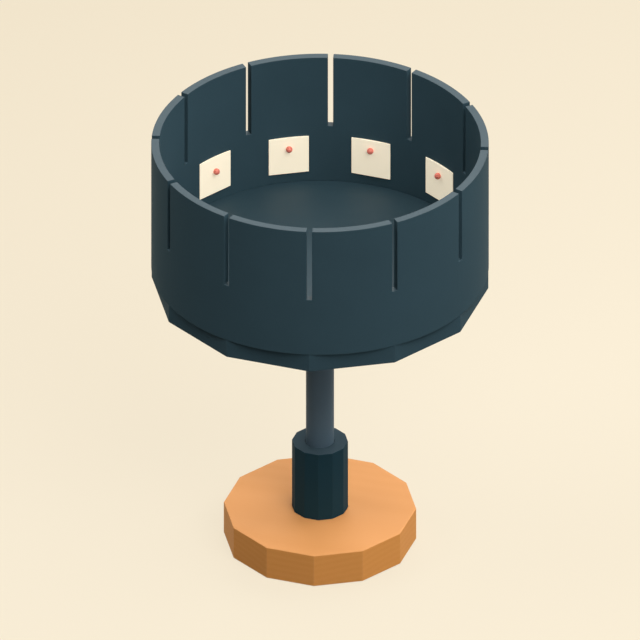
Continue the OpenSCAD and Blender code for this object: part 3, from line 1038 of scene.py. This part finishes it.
# %% [markdown]
# ## The pictures
# Each picture is a small tile of card, flat in front and curved behind where it lies on the
# wall. A box met with a cylinder gives that shape: the Intersect form of the Boolean modifier
# keeps what both hold. One tile is made on the +X side, and each copy has its pin's hole
# drilled there and is then turned into place, because that hole's height differs.

# %% Picture tiles
CARD_EASE = 0.00015
tile_foot, tile_top = heights_of("picture_tile_01")
bpy.ops.object.select_all(action="DESELECT")
bpy.ops.mesh.primitive_cube_add(
    size=1, location=(tile_face_r + WALL_T / 2, 0, (tile_foot + tile_top) / 2))
first_tile = bpy.context.active_object
first_tile.scale = (WALL_T, TILE_W, tile_top - tile_foot)
bpy.ops.object.transform_apply(location=True, rotation=True, scale=True)
carve(first_tile, add_post("back", tile_back_r, tile_foot - PAST, tile_top + PAST, corners=360),
      "INTERSECT")
ease(first_tile, width=CARD_EASE, above=50)
for i, angle, height in zip(pictures, angles, pin_heights):
    tile = turned_copy(first_tile, f"tile_{i}", 0)
    bit = add_post("bit", PIN_R + TIGHT, tile_face_r - PAST, drum_r, corners=24)
    carve(tile, lay_along_x(bit, height))
    tile.data.transform(Matrix.Rotation(angle, 4, "Z"))
    smooth(tile)
    finish_piece(tile, f"picture_tile_{i}")
bpy.data.objects.remove(first_tile)

# %% [markdown]
# The picture itself is a red ball, the round head of the pin that holds the tile. A sphere,
# laid with its poles along X, is cut off where it meets the tile. The flat left by the cut is
# inset to the pin's width and drawn out through the tile into the wall.

# %% Red balls
BALL_R = 0.0024
BALL_PROUD = 0.0013
PIN_GRIP = 0.003
bpy.ops.object.select_all(action="DESELECT")
bpy.ops.mesh.primitive_uv_sphere_add(
    segments=48, ring_count=24, radius=BALL_R, location=(tile_face_r - BALL_PROUD, 0, 0),
    rotation=(0, pi / 2, 0))
first_ball = bpy.context.active_object
bpy.ops.object.transform_apply(location=True, rotation=True, scale=True)
pick_all(first_ball)
bpy.ops.mesh.bisect(plane_co=(tile_face_r, 0, 0), plane_no=(1, 0, 0), use_fill=True,
                    clear_outer=True)
leave_edit()
flat_r = (BALL_R ** 2 - BALL_PROUD ** 2) ** 0.5
pick(first_ball, "faces", lambda place: place.x > tile_face_r - TINY)
bpy.ops.mesh.inset(thickness=flat_r - PIN_R)
bpy.ops.mesh.extrude_region_move(
    TRANSFORM_OT_translate={"value": (wall_in_r + PIN_GRIP - tile_face_r, 0, 0)})
leave_edit()
for i, angle, height in zip(pictures, angles, pin_heights):
    ball = turned_copy(first_ball, f"ball_{i}", angle, rise=height)
    smooth(ball, below=40)
    finish_piece(ball, f"ball_pin_{i}")
bpy.data.objects.remove(first_ball)

# %% [markdown]
# ## The stage
# The floor is a wide pale sheet. To the camera and in reflections it shows its own cream,
# with a trace of the object's shadow. To the lamps' light it is a plain, darker sheet, so
# that it doesn't fill the object's sides with bounced light. From below it is clear, so that
# the underside shows. It lies a hair below the felt.

# %% Floor
FLOOR_SIZE = 12.0
CREAM_FAR = (0.835, 0.737, 0.568, 1)
CREAM_NEAR = (0.900, 0.805, 0.636, 1)
UNSEEN = (0.13, 0.12, 0.11, 1)
SHADOW_SHARE = 0.14
# The cream growing lighter towards the front and the right is a painted fall of light across the
# floor.
TONE_FAR, TONE_NEAR = -0.82, -0.12  # where the cream starts and stops growing lighter
TONE_RIGHTWARD = 0.5  # it grows lighter forwards, and half as fast rightwards


def seen_directly(tree):
    """1 for a ray from the camera, a reflection or clear glass; 0 for scattered light."""
    ray = node(tree, "ShaderNodeLightPath")
    either = maths(tree, "MAXIMUM", ray.outputs["Is Camera Ray"], ray.outputs["Is Glossy Ray"])
    return maths(tree, "MAXIMUM", either, ray.outputs["Is Transmission Ray"])


def make_floor_material():
    made = bpy.data.materials.new("cream_floor")
    made.use_nodes = True
    tree = made.node_tree
    tree.nodes.remove(tree.nodes["Principled BSDF"])
    place = node(tree, "ShaderNodeTexCoord")
    split = node(tree, "ShaderNodeSeparateXYZ")
    share = node(tree, "ShaderNodeMapRange", **{"From Min": TONE_FAR, "From Max": TONE_NEAR})
    cream = node(tree, "ShaderNodeMix", data_type="RGBA")
    cream.inputs["A"].default_value = CREAM_FAR
    cream.inputs["B"].default_value = CREAM_NEAR
    glow = node(tree, "ShaderNodeEmission")
    matt = node(tree, "ShaderNodeBsdfDiffuse")
    shown = node(tree, "ShaderNodeMixShader", Fac=SHADOW_SHARE)
    unseen = node(tree, "ShaderNodeBsdfDiffuse", Color=UNSEEN)
    by_ray = node(tree, "ShaderNodeMixShader")
    clear = node(tree, "ShaderNodeBsdfTransparent")
    facing = node(tree, "ShaderNodeNewGeometry")
    by_side = node(tree, "ShaderNodeMixShader")
    slant = maths(tree, "MULTIPLY_ADD", split.outputs["X"], TONE_RIGHTWARD,
                  maths(tree, "MULTIPLY", split.outputs["Y"], -1.0))
    link(tree,
         (place.outputs["Object"], split.inputs[0]),
         (slant, share.inputs["Value"]),
         (share.outputs["Result"], cream.inputs["Factor"]),
         (cream.outputs["Result"], glow.inputs["Color"]),
         (cream.outputs["Result"], matt.inputs["Color"]),
         (glow.outputs[0], shown.inputs[1]),
         (matt.outputs[0], shown.inputs[2]),
         (seen_directly(tree), by_ray.inputs["Fac"]),
         (unseen.outputs[0], by_ray.inputs[1]),
         (shown.outputs[0], by_ray.inputs[2]),
         (facing.outputs["Backfacing"], by_side.inputs["Fac"]),
         (by_ray.outputs[0], by_side.inputs[1]),
         (clear.outputs[0], by_side.inputs[2]),
         (by_side.outputs[0], tree.nodes["Material Output"].inputs["Surface"]))
    return made


bpy.ops.object.select_all(action="DESELECT")
bpy.ops.mesh.primitive_plane_add(size=FLOOR_SIZE, location=(0, 0, -TIGHT))
floor = bpy.context.active_object
floor.name = "floor"
floor.data.materials.append(make_floor_material())
print("floor:", FLOOR_SIZE, "m wide")

# %% [markdown]
# The world does the same: it shows cream to the camera and in reflections, and gives the
# object only a trace of even light, which keeps the deepest corners from turning black.

# %% World
AMBIENT = 0.045
WORLD_CREAM = (0.930, 0.830, 0.660, 1)
EVEN_LIGHT = (1.0, 0.98, 0.95, 1)


def light_world():
    world = bpy.data.worlds.new("studio")
    scene.world = world
    world.use_nodes = True
    tree = world.node_tree
    shown = tree.nodes["Background"]
    shown.inputs["Color"].default_value = WORLD_CREAM
    even = node(tree, "ShaderNodeBackground", Color=EVEN_LIGHT, Strength=AMBIENT)
    by_ray = node(tree, "ShaderNodeMixShader")
    link(tree,
         (seen_directly(tree), by_ray.inputs["Fac"]),
         (even.outputs[0], by_ray.inputs[1]),
         (shown.outputs[0], by_ray.inputs[2]),
         (by_ray.outputs[0], tree.nodes["World Output"].inputs["Surface"]))


light_world()
print("world ready")

# %% [markdown]
# ## Lamps
# Five soft lamps stand round the object. The key and the front lamp are to the right, so the
# right is the light side, and the left lamp keeps the other side from turning black. The two
# behind light what faces up and the inside of the drum, and not the sides that the camera
# sees.

# %% Studio lamps
LAMP_DISTANCE = 2.4
LAMP_SIZE = 1.8


def add_lamp(name, azimuth, elevation, power):
    """A square soft lamp aimed at the middle of the object."""
    bpy.ops.object.light_add(type="AREA")
    lamp = bpy.context.active_object
    lamp.name = name
    lamp.data.size = LAMP_SIZE
    lamp.data.energy = power
    aim_at_object(lamp, direction(radians(azimuth), radians(elevation)), LAMP_DISTANCE)


add_lamp("key", azimuth=45, elevation=60, power=36)
add_lamp("front", azimuth=32, elevation=38, power=28)
add_lamp("left", azimuth=-90, elevation=52, power=30)
add_lamp("right_back", azimuth=120, elevation=38, power=28)
add_lamp("back", azimuth=180, elevation=38, power=29)
